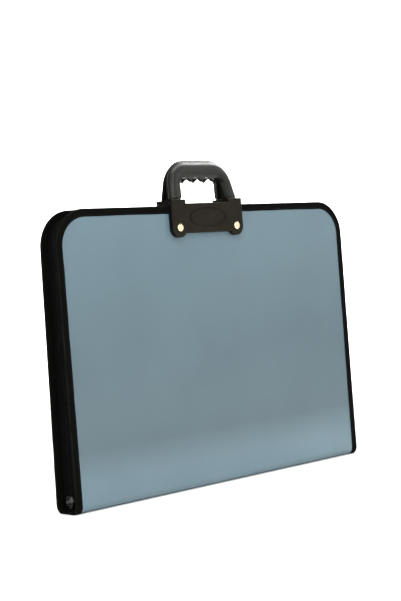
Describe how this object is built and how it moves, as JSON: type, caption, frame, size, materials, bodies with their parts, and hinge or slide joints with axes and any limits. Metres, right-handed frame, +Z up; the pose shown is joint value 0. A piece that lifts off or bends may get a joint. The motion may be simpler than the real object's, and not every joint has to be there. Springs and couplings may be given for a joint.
{
  "type": "portfolio case",
  "caption": "Flat zipped case for drawings: plastic covers folded round the base, bound cloth edges and gusset, moulded carrying handles.",
  "frame": {"origin": "on the ground under the middle of the base strip", "axes": "+X along the width, the front cover faces -Y, +Z up"},
  "size_m": [0.5, 0.0454, 0.4079],
  "materials": {
    "sheet": "blue-grey polypropylene sheet, satin",
    "binding_cloth": "black woven binding tape",
    "gusset_cloth": "black coated cloth",
    "zipper_tape": "black herringbone tape",
    "zipper_teeth": "black nylon coil",
    "handle_plastic": "dark grey moulded plastic, fine grain",
    "backing_plastic": "black moulded plastic",
    "rivet_brass": "polished",
    "slider_metal": "gunmetal"
  },
  "bodies": {
    "base": {"base_panel": "sheet", "base_end_bindings": "binding_cloth", "gusset_end_webs": "gusset_cloth", "zipper_end_clips": "slider_metal"},
    "front_cover": {"front_panel": "sheet", "front_binding": "binding_cloth", "front_gusset": "gusset_cloth", "front_zipper_tape": "zipper_tape", "front_zipper_teeth": "zipper_teeth", "front_handle_plate": "handle_plastic", "front_handle_backing": "backing_plastic", "front_rivets": "rivet_brass", "front_grip_pins": "backing_plastic"},
    "rear_cover": {"rear_panel": "sheet", "rear_binding": "binding_cloth", "rear_gusset": "gusset_cloth", "rear_zipper_tape": "zipper_tape", "rear_zipper_teeth": "zipper_teeth", "rear_handle_plate": "handle_plastic", "rear_handle_backing": "backing_plastic", "rear_rivets": "rivet_brass", "rear_grip_pins": "backing_plastic"},
    "front_grip": {"front_grip": "handle_plastic"},
    "rear_grip": {"rear_grip": "handle_plastic"},
    "zipper_slider": {"zipper_slider": "slider_metal"},
    "pull_tab": {"zipper_pull_tab": "slider_metal"}
  },
  "joints": [
    {"name": "front_cover_fold", "type": "hinge", "parent": "base", "child": "front_cover", "pos_m": [0, -0.018, 0.0102], "axis": [1, 0, 0], "range_deg": [0, 90]},
    {"name": "rear_cover_fold", "type": "hinge", "parent": "base", "child": "rear_cover", "pos_m": [0, 0.018, 0.0102], "axis": [-1, 0, 0], "range_deg": [0, 90]},
    {"name": "front_grip_swing", "type": "hinge", "parent": "front_cover", "child": "front_grip", "pos_m": [-0.01, -0.01568, 0.3536], "axis": [1, 0, 0], "range_deg": [0, 20]},
    {"name": "rear_grip_swing", "type": "hinge", "parent": "rear_cover", "child": "rear_grip", "pos_m": [0.002, 0.01568, 0.3536], "axis": [-1, 0, 0], "range_deg": [0, 16]},
    {"name": "slider_travel", "type": "slide", "parent": "rear_cover", "child": "zipper_slider", "axis": [0, 0, 1], "range_m": [0, 0.27]},
    {"name": "pull_tab_swing", "type": "hinge", "parent": "zipper_slider", "child": "pull_tab", "pos_m": [-0.24705, 0, 0.0142], "axis": [0, 0, -1], "range_deg": [0, 170]}
  ]
}
